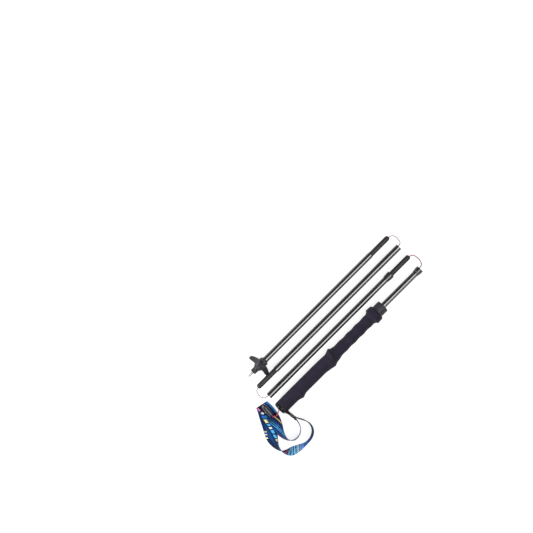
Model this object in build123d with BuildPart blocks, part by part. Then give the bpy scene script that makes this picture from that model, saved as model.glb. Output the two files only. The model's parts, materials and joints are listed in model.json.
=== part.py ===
"""A four-section folding ski pole, folded and lying flat. Millimetres, +Z up, +Y from the grip's cap
towards the open end of the handle. The origin is on the ground, in the middle of the footprint."""

import os
from math import cos, radians, sin

from build123d import *

# Where the pole lies
AXIS_Z = 15.0  # height of all four shaft axes above the ground
HANDLE_X = 11.1  # the handle's axis
CAP_Y = -140.55  # the outer face of the grip's cap
UPPER_GAP = 28.0  # between the axes of the handle and the upper shaft
MIDDLE_GAP = 23.0
LOWER_GAP = 24.0
UPPER_Y = 4.0  # from the cap's face to the upper shaft's open end
MIDDLE_Y = 333.0
LOWER_Y = 5.0  # to the ground end of the lower section, 2 mm short of the tip's point

# Shafts and the ferrules that join them
TUBE_R = 5.25
MOUTH_R = 5.5  # a shaft is swaged out at its open end
BORE_R = 4.45
SWAGE = 45.0  # length of the swaged end
FERRULE_R = 4.4
FERRULE_BORE_R = 3.3
FERRULE = 42.0  # from the shoulder to the rounded nose
FERRULE_ROOT = 30.0  # length glued into its own shaft
NOSE = 4.0
NOSE_SPIGOT = 6.0
NOSE_HOLE_R = 1.7
HANDLE_LENGTH = 332.0  # from the cap to the open end
HANDLE_SHAFT_END = HANDLE_LENGTH - 3  # the collar makes the rest
UPPER_LENGTH = 288.0  # from the open end to the ferrule's shoulder
UPPER_SHAFT = UPPER_LENGTH - 6  # the collar makes the rest
MIDDLE_LENGTH = 290.0
LOWER_LENGTH = 285.0  # from its ground end to the ferrule's shoulder

# Cord
CORD_R = 0.9
CORD_IN_MOUTH = 48.0  # length of each loop inside the open end it leaves
CORD_IN_NOSE = 8.0
LOOP_LEAD = 3.0  # straight run outside an open end or a nose
LOOP_REACH = 8.0  # how far a loop's back stands out
ARC = 0.45  # share of the shorter run that an arc may take
CORD_TURN_IN = 4.0  # the pull cord starts this far inside the cap
CRIMP = 14.0
CRIMP_R = 2.0
CRIMP_START = 172.0

# Toggle on the pull cord
TOGGLE = 23.6
TOGGLE_R = 4.7
TOGGLE_TURN = 4.0
KNOT_DEPTH = 6.5

# Grip, with distances along it from the cap's face
GRIP_R = 11.8
CAP_LENGTH = 6.0
CAP_FACE_R = 7.0
CAP_NECK_R = 8.5
CAP_NECK_END = 16.0
CAP_SPIGOT_END = 30.0
CAP_HOLE_R = 1.6
EYELET = 7.0  # the eyelet's length inside the cap
EYELET_R = 3.0
EYELET_HOLE_R = 1.15
STRAIGHT_END = 86.0  # from here the grip narrows to its waist
WAIST_R = 11.0
WAIST_Y = 117.0
HEEL_R = 12.3  # the swelling behind the flange
HEEL_Y = 128.5
UPPER_GRIP_END = 138.0
RIDGE_Y = 43.5  # the ridge between the first and second finger
RIDGE_R = 11.7
RIDGE_SHIFT = 2.9  # how far its own axis stands to the front
SWELLING_SHIFT = 2.4
FLANGE_R = 15.0
FLANGE_Y = 124.0
FLANGE_TILT = 21.0
LOWER_GRIP_R = 10.2
LOWER_GRIP_END = 231.0
WAVE = 0.4  # height of each crest and depth of each trough
WAVE_CREST = 150.5
WAVE_LENGTH = 19.0
WAVES = 3
END_RING_R = 14.9
END_RING_Y = 219.6
END_COLLAR_R = 11.0
END_COLLAR_END = 245.4
COLLAR_R = 6.6
FIT = 0.05  # gap between two pieces that are glued or pressed together

# Lower shaft, basket and tip, with distances from the section's ground end
LOWER_SHAFT_START = 38.0
HOLDER_END = LOWER_SHAFT_START + 22  # inside the shaft
ANCHOR_TOP = LOWER_LENGTH - 22  # the plug that the cord ends in, inside the ferrule
ANCHOR = 6.0
ANCHOR_DOME = 3.25
ANCHOR_DEPTH = 4.05
LOBES = 3
LOBE_R = 24.1
LOBE_CUT_R = 27.5
LOBE_CUT_CENTRE = 37.3
LOBE_CORNER = 4.6
SKIRT_START = 19.4  # the basket is a dish whose skirt points to the tip
SKIRT_WALL = 1.9
RIM_R = 22.3
RIM_BACK = 25.3
DISH_WALL = 2.0  # thickness of the dish, measured along the shaft
HUB_START = 18.3
HUB_END = 31.0
HUB_R = 8.6
RIB = 1.6  # thickness of the rib under each lobe
RIB_START = 21.4
NUT = 4.6  # the ring that holds the basket
NUT_R = 7.9
NUT_SIDES = 12
HOLDER_R = 5.9
FOOT_R = 5.1  # the end of the tip holder, which a rubber foot pushes over
TIP_R = 2.0
TIP_POINT = -2.0
TIP_ROOT = 15.95

# Wrist strap
STRAP = 22.0  # width of the webbing
WEB = 1.5  # its thickness
TAB = 16.0  # width of the sewn tab that joins it to the cap
TAB_THICK = 3.0
PIN_R = 1.5
PIN = 19.6
PIN_X = 6.2
PIN_Y = 6.3
TAB_TURN = 7.0
TAB_LENGTH = 23.8
TAB_ROOM = (16.4, 6.8)  # the slot in the cap and the foam
KEEPER_X = 15.5
KEEPER = 9.5


def shaft_plane(x, y, flipped=False):
    """The plane a shaft is drawn on: its own Y runs along the shaft from its open end."""
    side = -1 if flipped else 1
    return Plane(origin=(HANDLE_X + x, CAP_Y + y, AXIS_Z), x_dir=(side, 0, 0), z_dir=(0, 0, 1))


def across(plane, distance):
    """The plane square to the shaft at this distance along it."""
    origin = plane.from_local_coords(Vector(0, distance, 0))
    return Plane(origin=origin, x_dir=plane.x_dir, z_dir=plane.y_dir)


def along(plane):
    return Axis(plane.origin, plane.y_dir)


UPPER_X = -UPPER_GAP
MIDDLE_X = UPPER_X - MIDDLE_GAP
LOWER_X = MIDDLE_X - LOWER_GAP
handle = shaft_plane(0, 0)
upper = shaft_plane(UPPER_X, UPPER_Y)
middle = shaft_plane(MIDDLE_X, MIDDLE_Y, flipped=True)
lower = shaft_plane(LOWER_X, LOWER_Y)


def sleeve(plane, start, end, radius, bore=0.0):
    """A plain round piece between two distances along a shaft, bored through."""
    with BuildPart() as piece:
        with BuildSketch(across(plane, start)):
            Circle(radius)
            if bore:
                Circle(bore, mode=Mode.SUBTRACT)
        extrude(amount=end - start)
    return piece


def swaged_shaft(plane, length):
    """A shaft with its wall thickened outwards at the open end."""
    with BuildPart() as shaft:
        with BuildSketch(plane):
            with BuildLine():
                Polyline(
                    (BORE_R, 0),
                    (MOUTH_R, 0),
                    (MOUTH_R, SWAGE),
                    (TUBE_R, SWAGE + 15),
                    (TUBE_R, length),
                    (BORE_R, length),
                    close=True,
                )
            make_face()
        revolve(axis=along(plane))
    return shaft


def ferrule(plane, shoulder):
    """The metal sleeve glued into one shaft's end, which plugs into the next shaft."""
    return sleeve(plane, shoulder - FERRULE_ROOT, shoulder + FERRULE - NOSE, FERRULE_R, FERRULE_BORE_R)


def nose(plane, shoulder):
    """The rounded guide in the ferrule's end that the cord runs through."""
    tip = shoulder + FERRULE
    root = tip - NOSE
    with BuildPart() as guide:
        with BuildSketch(plane):
            with BuildLine():
                Line((NOSE_HOLE_R, tip - 0.6), (NOSE_HOLE_R, root - NOSE_SPIGOT))
                Line((NOSE_HOLE_R, root - NOSE_SPIGOT), (FERRULE_BORE_R - FIT, root - NOSE_SPIGOT))
                Line((FERRULE_BORE_R - FIT, root - NOSE_SPIGOT), (FERRULE_BORE_R - FIT, root))
                Line((FERRULE_BORE_R - FIT, root), (FERRULE_R - 0.1, root))
                ThreePointArc((FERRULE_R - 0.1, root), (3.9, root + 2.4), (2.4, tip))
                ThreePointArc((2.4, tip), (1.9, tip - 0.15), (NOSE_HOLE_R, tip - 0.6))
            make_face()
        revolve(axis=along(plane))
    return guide


def cord_tube(points):
    """A cord: straight runs joined by tangent arcs, each as large as its two runs allow."""
    route = [Vector(*p) for p in points]
    radii = []
    for before, corner, after in zip(route, route[1:], route[2:]):
        turn = (corner - before).get_angle(after - corner)
        run = min((corner - before).length, (after - corner).length)
        radii.append(ARC * run / (sin(radians(turn / 2)) / cos(radians(turn / 2))))
    with BuildPart() as cord:
        with BuildLine() as path:
            FilletPolyline(*route, radius=radii)
        centre_line = path.wires()[0]
        with BuildSketch(Plane(origin=route[0], z_dir=route[1] - route[0])):
            Circle(CORD_R)
        sweep(path=centre_line)
    print("cord radii", [round(r, 1) for r in radii], "length", round(centre_line.length, 1))
    return cord


def cord_loop(mouth, child, child_length):
    """The cord between two folded shafts: out of one open end, round, and into the next nose.
    The mouth is the open end's plane, with +Y straight out of it, and child is the next shaft's."""
    tip = mouth.to_local_coords(child.from_local_coords(Vector(0, child_length + FERRULE, 0)))
    reach = max(tip.Y, 0) + LOOP_REACH
    local = [
        (0, -CORD_IN_MOUTH),
        (0, LOOP_LEAD),
        (tip.X * 0.25, reach),
        (tip.X * 0.75, reach),
        (tip.X, tip.Y + LOOP_LEAD),
        (tip.X, tip.Y - CORD_IN_NOSE),
    ]
    return cord_tube([mouth.from_local_coords(Vector(x, y, 0)) for x, y in local])


# Handle --------------------------------------------------------------------------------------
handle_shaft = sleeve(handle, CAP_NECK_END, HANDLE_SHAFT_END, TUBE_R, BORE_R)

with BuildPart() as handle_collar:
    with BuildSketch(handle):
        with BuildLine():
            Line((BORE_R, HANDLE_SHAFT_END), (BORE_R, HANDLE_LENGTH))
            Line((BORE_R, HANDLE_LENGTH), (COLLAR_R - 0.6, HANDLE_LENGTH))
            ThreePointArc(
                (COLLAR_R - 0.6, HANDLE_LENGTH),
                (COLLAR_R - 0.15, HANDLE_LENGTH - 0.2),
                (COLLAR_R, HANDLE_LENGTH - 0.8),
            )
            Polyline(
                (COLLAR_R, HANDLE_LENGTH - 0.8),
                (COLLAR_R, HANDLE_LENGTH - 6),
                (5.9, HANDLE_LENGTH - 9),
                (5.7, HANDLE_LENGTH - 12),
                (TUBE_R + FIT, HANDLE_LENGTH - 12),
                (TUBE_R + FIT, HANDLE_SHAFT_END),
                (BORE_R, HANDLE_SHAFT_END),
            )
        make_face()
    revolve(axis=along(handle))

# the slot for the strap's sewn tab, open to the front, and the hole for its pin
with BuildPart() as tab_room:
    with BuildSketch(handle):
        with Locations((PIN_X + 5, PIN_Y)):
            Rectangle(*TAB_ROOM)
    extrude(amount=TAB / 2 + 0.3, both=True)
    with BuildSketch(handle):
        with Locations((PIN_X, PIN_Y)):
            Circle(PIN_R + 0.02)
    extrude(amount=GRIP_R, both=True)

with BuildPart() as top_cap:
    with BuildSketch(handle):
        with BuildLine():
            Line((EYELET_R + FIT, 0), (CAP_FACE_R, 0))
            ThreePointArc((CAP_FACE_R, 0), (10.6, 1.3), (GRIP_R, 4.6))
            Polyline(
                (GRIP_R, 4.6),
                (GRIP_R, CAP_LENGTH),
                (CAP_NECK_R, CAP_LENGTH),
                (CAP_NECK_R, CAP_NECK_END),
                (BORE_R - FIT, CAP_NECK_END),
                (BORE_R - FIT, CAP_SPIGOT_END),
                (CAP_HOLE_R, CAP_SPIGOT_END),
                (CAP_HOLE_R, EYELET + 1),
                (EYELET_R + FIT, EYELET + 1),
                (EYELET_R + FIT, 0),
            )
        make_face()
    revolve(axis=along(handle))
    add(tab_room.part, mode=Mode.SUBTRACT)

with BuildPart() as cord_eyelet:
    with BuildSketch(handle):
        with BuildLine():
            Line((EYELET_HOLE_R, EYELET), (EYELET_HOLE_R, 2.4))
            ThreePointArc((EYELET_HOLE_R, 2.4), (1.35, 0.9), (2.0, -0.4))
            ThreePointArc((2.0, -0.4), (3.1, -0.7), (4.1, -0.02))
            Polyline((4.1, -0.02), (EYELET_R, -0.02), (EYELET_R, EYELET), (EYELET_HOLE_R, EYELET))
        make_face()
    revolve(axis=along(handle))

with BuildPart() as strap_pin:
    with BuildSketch(handle):
        with Locations((PIN_X, PIN_Y)):
            Circle(PIN_R)
    extrude(amount=PIN / 2, both=True)

with BuildPart() as upper_grip:
    # the round foam body, which narrows to a waist and swells behind the flange
    with BuildSketch(handle):
        with BuildLine():
            Line((GRIP_R, CAP_LENGTH + FIT), (GRIP_R, STRAIGHT_END))
            ThreePointArc((GRIP_R, STRAIGHT_END), (GRIP_R - 0.2, 102), (WAIST_R, WAIST_Y))
            Line((WAIST_R, WAIST_Y), (HEEL_R, HEEL_Y))
            ThreePointArc((HEEL_R, HEEL_Y), (11.5, 133.4), (LOWER_GRIP_R, UPPER_GRIP_END))
            Polyline(
                (LOWER_GRIP_R, UPPER_GRIP_END),
                (TUBE_R + FIT, UPPER_GRIP_END),
                (TUBE_R + FIT, CAP_NECK_END),
                (CAP_NECK_R + FIT, CAP_NECK_END),
                (CAP_NECK_R + FIT, CAP_LENGTH + FIT),
                (GRIP_R, CAP_LENGTH + FIT),
            )
        make_face()
    revolve(axis=along(handle))
    # the swelling towards the front that runs up to the flange
    swelling = shaft_plane(SWELLING_SHIFT, 0)
    with BuildSketch(swelling):
        with BuildLine():
            ThreePointArc((8.6, 90), (10.2, 104), (12.8, 117.5))
            ThreePointArc((12.8, 117.5), (11.5, 122), (8.6, 127))
            Polyline((8.6, 127), (8.0, 127), (8.0, 90), (8.6, 90))
        make_face()
    revolve(axis=along(swelling))
    # the ridge between the first and second finger, on the front of the grip only
    ridge = shaft_plane(RIDGE_SHIFT, RIDGE_Y)
    with BuildSketch(ridge):
        with BuildLine():
            ThreePointArc((8.7, -14.5), (9.5, -7.5), (RIDGE_R - 0.4, -2))
            ThreePointArc((RIDGE_R - 0.4, -2), (RIDGE_R, 0), (RIDGE_R - 0.4, 2))
            ThreePointArc((RIDGE_R - 0.4, 2), (9.6, 6.6), (8.7, 13))
            Polyline((8.7, 13), (6.5, 13), (6.5, -14.5), (8.7, -14.5))
        make_face()
    revolve(axis=along(ridge))
    # the flange that the hand rests on, leaning forward
    lean = Vector(sin(radians(FLANGE_TILT)), cos(radians(FLANGE_TILT)), 0)
    flange = Plane(
        origin=handle.from_local_coords(Vector(0, FLANGE_Y, 0)),
        x_dir=lean.cross(Vector(0, 0, 1)),
        z_dir=(0, 0, 1),
    )
    with BuildSketch(flange):
        with BuildLine():
            ThreePointArc((7.5, -9.5), (11.2, -5.4), (FLANGE_R - 0.8, -2.2))
            ThreePointArc((FLANGE_R - 0.8, -2.2), (FLANGE_R, -0.2), (FLANGE_R - 0.7, 1.8))
            ThreePointArc((FLANGE_R - 0.7, 1.8), (11.8, 5.4), (9.0, 9.5))
            Polyline((9.0, 9.5), (TUBE_R + 1.0, 9.5), (TUBE_R + 1.0, -9.5), (7.5, -9.5))
        make_face()
    revolve(axis=along(flange))
    with BuildSketch(across(handle, CAP_LENGTH)):
        Circle(TUBE_R + FIT)
    extrude(amount=UPPER_GRIP_END, mode=Mode.SUBTRACT)
    with BuildSketch(across(handle, CAP_LENGTH)):
        Circle(CAP_NECK_R + FIT)
    extrude(amount=CAP_NECK_END - CAP_LENGTH + FIT, mode=Mode.SUBTRACT)
    add(tab_room.part, mode=Mode.SUBTRACT)

with BuildPart() as lower_grip:
    with BuildSketch(handle):
        with BuildLine():
            Line((LOWER_GRIP_R, UPPER_GRIP_END + FIT), (LOWER_GRIP_R, WAVE_CREST - WAVE_LENGTH / 4))
            # crests and troughs, arc after arc
            for bend in range(2 * WAVES + 1):
                crest = WAVE_CREST + bend * WAVE_LENGTH / 2
                peak_r = LOWER_GRIP_R + (WAVE if bend % 2 == 0 else -WAVE)
                ThreePointArc(
                    (LOWER_GRIP_R, crest - WAVE_LENGTH / 4),
                    (peak_r, crest),
                    (LOWER_GRIP_R, crest + WAVE_LENGTH / 4),
                )
            wave_end = WAVE_CREST + (WAVES + 0.25) * WAVE_LENGTH
            ThreePointArc((LOWER_GRIP_R, wave_end), (11.7, 216), (END_RING_R - 0.4, END_RING_Y - 1.2))
            ThreePointArc(
                (END_RING_R - 0.4, END_RING_Y - 1.2),
                (END_RING_R, END_RING_Y),
                (END_RING_R - 0.1, END_RING_Y + 1.2),
            )
            Line((END_RING_R - 0.1, END_RING_Y + 1.2), (END_RING_R - 0.5, 227.2))
            ThreePointArc((END_RING_R - 0.5, 227.2), (13.5, 229.6), (11.4, LOWER_GRIP_END))
            Polyline(
                (11.4, LOWER_GRIP_END),
                (TUBE_R + FIT, LOWER_GRIP_END),
                (TUBE_R + FIT, UPPER_GRIP_END + FIT),
                (LOWER_GRIP_R, UPPER_GRIP_END + FIT),
            )
        make_face()
    revolve(axis=along(handle))

with BuildPart() as grip_end_collar:
    with BuildSketch(handle):
        with BuildLine():
            Polyline(
                (TUBE_R + FIT, LOWER_GRIP_END + FIT),
                (END_COLLAR_R - 0.1, LOWER_GRIP_END + FIT),
                (END_COLLAR_R, END_COLLAR_END - 3.2),
            )
            ThreePointArc(
                (END_COLLAR_R, END_COLLAR_END - 3.2),
                (END_COLLAR_R - 0.8, END_COLLAR_END - 0.8),
                (END_COLLAR_R - 3, END_COLLAR_END),
            )
            Polyline(
                (END_COLLAR_R - 3, END_COLLAR_END),
                (TUBE_R + FIT, END_COLLAR_END),
                (TUBE_R + FIT, LOWER_GRIP_END + FIT),
            )
        make_face()
    revolve(axis=along(handle))

# Wrist strap ---------------------------------------------------------------------------------
tab_way = Vector(cos(radians(TAB_TURN)), sin(radians(TAB_TURN)), 0)
tab_plane = Plane(
    origin=handle.from_local_coords(Vector(PIN_X, PIN_Y, 0)), x_dir=tab_way, z_dir=(0, 0, 1)
)

with BuildPart() as strap_stub:
    with BuildSketch(tab_plane):
        Circle(PIN_R + 1.5)
        with Locations((TAB_LENGTH / 2, 0)):
            Rectangle(TAB_LENGTH, TAB_THICK)
        Circle(PIN_R + FIT, mode=Mode.SUBTRACT)
    extrude(amount=TAB / 2, both=True)

with BuildPart() as strap_keeper:
    with BuildSketch(tab_plane):
        with Locations((KEEPER_X, 0)):
            RectangleRounded(KEEPER, TAB_THICK + 1.7, 0.8)
    extrude(amount=TAB / 2 + 1.2, both=True)
    fillet(strap_keeper.edges().filter_by(Axis.Z, reverse=True).group_by(Axis.Z)[-1], 0.5)
    with BuildSketch(tab_plane):
        with Locations((KEEPER_X, 0)):
            Rectangle(KEEPER, TAB_THICK + 2 * FIT)
    extrude(amount=TAB / 2 + FIT, both=True, mode=Mode.SUBTRACT)


# The webbing's edges, measured from the handle's axis and the cap's face
INNER_TURN = [(37.5, 7.9), (45.2, 4.9), (52.4, -1.8), (55.1, -11.0), (52.8, -20.0), (47.0, -25.0)]
OUTER_TURN = [(40.0, 15.6), (49.5, 19.8), (60.0, 18.0), (68.4, 10.6), (72.3, 0.5), (73.4, -11.0)]
FOLD_TOP = (-21.5, -3.6)
FOLD_BOTTOM = (-27.1, -27.9)
BACK_LOW_EDGE = [
    (-12.3, -35.5),
    (4.5, -43.1),
    (20.7, -50.0),
    (31.5, -52.8),
    (52.5, -48.8),
    (67.4, -41.7),
    (73.6, -29.0),
    (74.1, -11.0),
]
BACK_TWIST_EDGE = [(72.7, -11.0), (68.0, -16.0), (60.1, -27.4), (54.5, -41.0)]
BACK_FRONT_EDGE = [(54.5, -41.0), (43.1, -42.8), (34.7, -37.6), (27.6, -31.0)]
BACK_HIDDEN_EDGE = [(27.6, -31.0), (12.0, -18.0), (-4.0, -9.0)]
FRONT_LOW_EDGE = [(-2.0, -26.0), (14.0, -30.5), (32.4, -31.9), (49.0, -25.3)]
FRONT_HIGH_EDGE = [(47.4, -23.6), (31.5, -20.7), (13.0, -10.7), (-7.3, -3.7)]

ground = Plane(origin=(HANDLE_X, CAP_Y, 0))
tab_end = Vector(PIN_X, PIN_Y, 0) + tab_way * TAB_LENGTH
tab_side = tab_way.rotate(Axis.Z, 90) * (WEB * 0.4)  # the two layers are sewn together here

with BuildPart() as wrist_strap:
    # the webbing standing on edge, from the tab round both sides of the hand
    with BuildSketch(ground):
        for root, turn in ((tab_end - tab_side, INNER_TURN), (tab_end + tab_side, OUTER_TURN)):
            leave = Vector(*turn[-1]) - Vector(*turn[-2])
            with BuildLine() as edge_on:
                Spline(root, *turn, tangents=(tab_way, leave))
            trace(edge_on.line, line_width=WEB)
    extrude(amount=STRAP)
    # the back of the hand loop, lying flat and turned over at the fold
    with BuildSketch(ground):
        with BuildLine():
            Line(FOLD_TOP, FOLD_BOTTOM)
            Spline(FOLD_BOTTOM, *BACK_LOW_EDGE)
            Line(BACK_LOW_EDGE[-1], BACK_TWIST_EDGE[0])
            Spline(*BACK_TWIST_EDGE)
            Spline(*BACK_FRONT_EDGE)
            Spline(*BACK_HIDDEN_EDGE, FOLD_TOP)
        make_face()
    extrude(amount=WEB)
    # the front, lying over it and turning up on edge
    with BuildSketch(ground.offset(WEB)):
        with BuildLine():
            Line(FOLD_TOP, FOLD_BOTTOM)
            Spline(FOLD_BOTTOM, *FRONT_LOW_EDGE)
            Line(FRONT_LOW_EDGE[-1], FRONT_HIGH_EDGE[0])
            Spline(*FRONT_HIGH_EDGE, FOLD_TOP)
        make_face()
    extrude(amount=WEB)

# Pull cord and toggle ------------------------------------------------------------------------
PULL_ROUTE = [
    (0, CORD_TURN_IN, 0),
    (0, -1.6, 0),
    (3.2, -5.6, -1.5),
    (4.6, -9.6, -3.4),
    (3.9, -13.4, -5.2),
    (1.2, -15.9, -6.2),
]
toggle_way = Vector(-cos(radians(TOGGLE_TURN)), sin(radians(TOGGLE_TURN)), 0)
toggle_mouth = Vector(-0.6, -15.8, -6.3)
knot = toggle_mouth + toggle_way * (KNOT_DEPTH - 0.5)
toggle_plane = Plane(
    origin=handle.from_local_coords(toggle_mouth),
    x_dir=toggle_way.cross(Vector(0, 0, 1)),
    z_dir=(0, 0, 1),
)
inner_cord = sleeve(handle, CORD_TURN_IN, HANDLE_LENGTH - CORD_IN_MOUTH, CORD_R)
cord_crimp = sleeve(handle, CRIMP_START, CRIMP_START + CRIMP, CRIMP_R, CORD_R + 0.02)
pull_cord = cord_tube([handle.from_local_coords(Vector(*p)) for p in (*PULL_ROUTE, knot)])

# the toggle is a round barrel on the cord's end, knotted inside
with BuildPart() as pull_toggle:
    with BuildSketch(toggle_plane):
        with BuildLine():
            Polyline((0, KNOT_DEPTH), (CORD_R + 0.35, KNOT_DEPTH), (CORD_R + 0.35, 0), (2.6, 0))
            ThreePointArc((2.6, 0), (3.9, 1.1), (TOGGLE_R - 0.2, 3.6))
            ThreePointArc((TOGGLE_R - 0.2, 3.6), (TOGGLE_R, TOGGLE / 2), (TOGGLE_R - 0.2, TOGGLE - 3.6))
            ThreePointArc((TOGGLE_R - 0.2, TOGGLE - 3.6), (3.6, TOGGLE - 1.1), (2.0, TOGGLE))
            Polyline((2.0, TOGGLE), (0, TOGGLE), (0, KNOT_DEPTH))
        make_face()
    revolve(axis=along(toggle_plane))

# Upper shaft ---------------------------------------------------------------------------------
upper_shaft = swaged_shaft(upper, UPPER_SHAFT)
upper_ferrule = ferrule(upper, UPPER_LENGTH)
upper_nose = nose(upper, UPPER_LENGTH)
upper_cord = sleeve(upper, CORD_IN_MOUTH, UPPER_LENGTH + FERRULE - CORD_IN_NOSE, CORD_R)

with BuildPart() as upper_collar:
    with BuildSketch(upper):
        with BuildLine():
            Line((FERRULE_R + FIT, UPPER_SHAFT), (FERRULE_R + FIT, UPPER_LENGTH))
            Line((FERRULE_R + FIT, UPPER_LENGTH), (5.3, UPPER_LENGTH))
            ThreePointArc((5.3, UPPER_LENGTH), (6.2, UPPER_LENGTH - 0.6), (COLLAR_R - 0.1, UPPER_LENGTH - 2))
            Polyline(
                (COLLAR_R - 0.1, UPPER_LENGTH - 2),
                (COLLAR_R - 0.1, UPPER_LENGTH - 7),
                (5.8, UPPER_LENGTH - 13.5),
                (TUBE_R + FIT, UPPER_LENGTH - 13.8),
                (TUBE_R + FIT, UPPER_SHAFT),
                (FERRULE_R + FIT, UPPER_SHAFT),
            )
        make_face()
    revolve(axis=along(upper))

# Middle shaft --------------------------------------------------------------------------------
middle_shaft = swaged_shaft(middle, MIDDLE_LENGTH)
middle_ferrule = ferrule(middle, MIDDLE_LENGTH)
middle_nose = nose(middle, MIDDLE_LENGTH)
middle_cord = sleeve(middle, CORD_IN_MOUTH, MIDDLE_LENGTH + FERRULE - CORD_IN_NOSE, CORD_R)

# Lower shaft, tip and basket -----------------------------------------------------------------
lower_shaft = sleeve(lower, LOWER_SHAFT_START, LOWER_LENGTH, TUBE_R, BORE_R)
lower_ferrule = ferrule(lower, LOWER_LENGTH)
lower_nose = nose(lower, LOWER_LENGTH)
lower_cord = sleeve(lower, ANCHOR_TOP - ANCHOR_DEPTH + FIT, LOWER_LENGTH + FERRULE - CORD_IN_NOSE, CORD_R)

with BuildPart() as cord_anchor:
    anchor_r = FERRULE_BORE_R - FIT
    anchor_bottom = ANCHOR_TOP - ANCHOR
    with BuildSketch(lower):
        with BuildLine():
            Polyline(
                (CORD_R + FIT, ANCHOR_TOP),
                (anchor_r, ANCHOR_TOP),
                (anchor_r, anchor_bottom),
            )
            ThreePointArc(
                (anchor_r, anchor_bottom),
                (anchor_r * cos(radians(45)), anchor_bottom - ANCHOR_DOME * sin(radians(45))),
                (0, anchor_bottom - ANCHOR_DOME),
            )
            Polyline(
                (0, anchor_bottom - ANCHOR_DOME),
                (0, ANCHOR_TOP - ANCHOR_DEPTH),
                (CORD_R + FIT, ANCHOR_TOP - ANCHOR_DEPTH),
                (CORD_R + FIT, ANCHOR_TOP),
            )
        make_face()
    revolve(axis=along(lower))

with BuildPart() as tip_holder:
    with BuildSketch(lower):
        with BuildLine():
            Polyline(
                (0, TIP_ROOT + FIT),
                (TIP_R + FIT, TIP_ROOT + FIT),
                (TIP_R + FIT, 8.4),
                (3.6, 7.6),
                (FOOT_R, 9.0),
                (FOOT_R, 15.0),
                (HOLDER_R, 17.0),
                (HOLDER_R, 36.0),
                (TUBE_R, LOWER_SHAFT_START - FIT),
                (BORE_R - FIT, LOWER_SHAFT_START - FIT),
                (BORE_R - FIT, HOLDER_END),
                (0, HOLDER_END),
                close=True,
            )
        make_face()
    revolve(axis=along(lower))

with BuildPart() as carbide_tip:
    with BuildSketch(lower):
        with BuildLine():
            Polyline(
                (0, TIP_ROOT),
                (TIP_R, TIP_ROOT),
                (TIP_R, 4.5),
                (1.4, TIP_POINT),
                (0.8, TIP_POINT + 0.5),
                (0, TIP_POINT + 0.7),
                close=True,
            )
        make_face()
    revolve(axis=along(lower))


def lobed(inset=0.0):
    """The basket's outline on the sketch in progress: lobes with hollow sides, one of them straight up."""
    Circle(LOBE_R - inset)
    with PolarLocations(LOBE_CUT_CENTRE, LOBES, start_angle=90):
        Circle(LOBE_CUT_R + inset, mode=Mode.SUBTRACT)


# the space inside the dish, which leaves a skirt along the lobes' edge
with BuildPart() as basket_hollow:
    with BuildSketch(across(lower, SKIRT_START - 1)) as inner_outline:
        lobed(SKIRT_WALL)
        fillet(inner_outline.vertices(), LOBE_CORNER - SKIRT_WALL)
    extrude(amount=HUB_END - SKIRT_START)
    with BuildSketch(lower):
        with BuildLine():
            Line((0, SKIRT_START - 1), (LOBE_R, SKIRT_START - 1))
            Line((LOBE_R, SKIRT_START - 1), (LOBE_R, RIM_BACK - DISH_WALL - 0.8))
            ThreePointArc(
                (LOBE_R, RIM_BACK - DISH_WALL - 0.8),
                (17.3, 28.0 - DISH_WALL),
                (HUB_R, HUB_END - DISH_WALL),
            )
            Polyline((HUB_R, HUB_END - DISH_WALL), (0, HUB_END - DISH_WALL), (0, SKIRT_START - 1))
        make_face()
    revolve(axis=along(lower), mode=Mode.INTERSECT)

with BuildPart() as basket:
    with BuildSketch(across(lower, SKIRT_START)) as outline:
        lobed()
        fillet(outline.vertices(), LOBE_CORNER)
    extrude(amount=HUB_END - SKIRT_START)
    # the dish's back curves down from the hub and round the rim
    with BuildSketch(lower):
        with BuildLine():
            Line((0, SKIRT_START + 1.4), (HUB_R, SKIRT_START + 1.4))
            ThreePointArc((HUB_R, SKIRT_START + 1.4), (15.5, SKIRT_START + 1), (RIM_R - 0.8, SKIRT_START))
            ThreePointArc((RIM_R - 0.8, SKIRT_START), (LOBE_R, 22.3), (RIM_R, RIM_BACK))
            ThreePointArc((RIM_R, RIM_BACK), (17.3, 28.0), (HUB_R, HUB_END))
            Polyline((HUB_R, HUB_END), (0, HUB_END), (0, SKIRT_START + 1.4))
        make_face()
    revolve(axis=along(lower), mode=Mode.INTERSECT)
    add(basket_hollow.part, mode=Mode.SUBTRACT)
    # a rib under each lobe
    with BuildSketch(across(lower, RIB_START)):
        with PolarLocations((RIM_R - 1) / 2, LOBES, start_angle=90 + 180 / LOBES):
            Rectangle(RIM_R - 1, RIB)
    extrude(amount=RIM_BACK - 1.2 - RIB_START)
    # the hub
    with BuildSketch(lower):
        with BuildLine():
            Polyline((0, HUB_START), (HUB_R - 1.2, HUB_START), (HUB_R, 29), (0, 29), close=True)
        make_face()
    revolve(axis=along(lower))
    with BuildSketch(across(lower, HUB_START)):
        Circle(HOLDER_R + FIT)
    extrude(amount=HUB_END - HUB_START, mode=Mode.SUBTRACT)

with BuildPart() as basket_ring:
    with BuildSketch(across(lower, HUB_END + 2 * FIT)) as ring:
        RegularPolygon(NUT_R, NUT_SIDES)
        fillet(ring.vertices(), 0.8)
        Circle(HOLDER_R + FIT, mode=Mode.SUBTRACT)
    extrude(amount=NUT)

# Cord loops ----------------------------------------------------------------------------------
handle_loop = cord_loop(shaft_plane(0, HANDLE_LENGTH), upper, UPPER_LENGTH)
upper_loop = cord_loop(shaft_plane(UPPER_X, UPPER_Y, flipped=True), middle, MIDDLE_LENGTH)
middle_loop = cord_loop(shaft_plane(MIDDLE_X, MIDDLE_Y), lower, LOWER_LENGTH)

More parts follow.
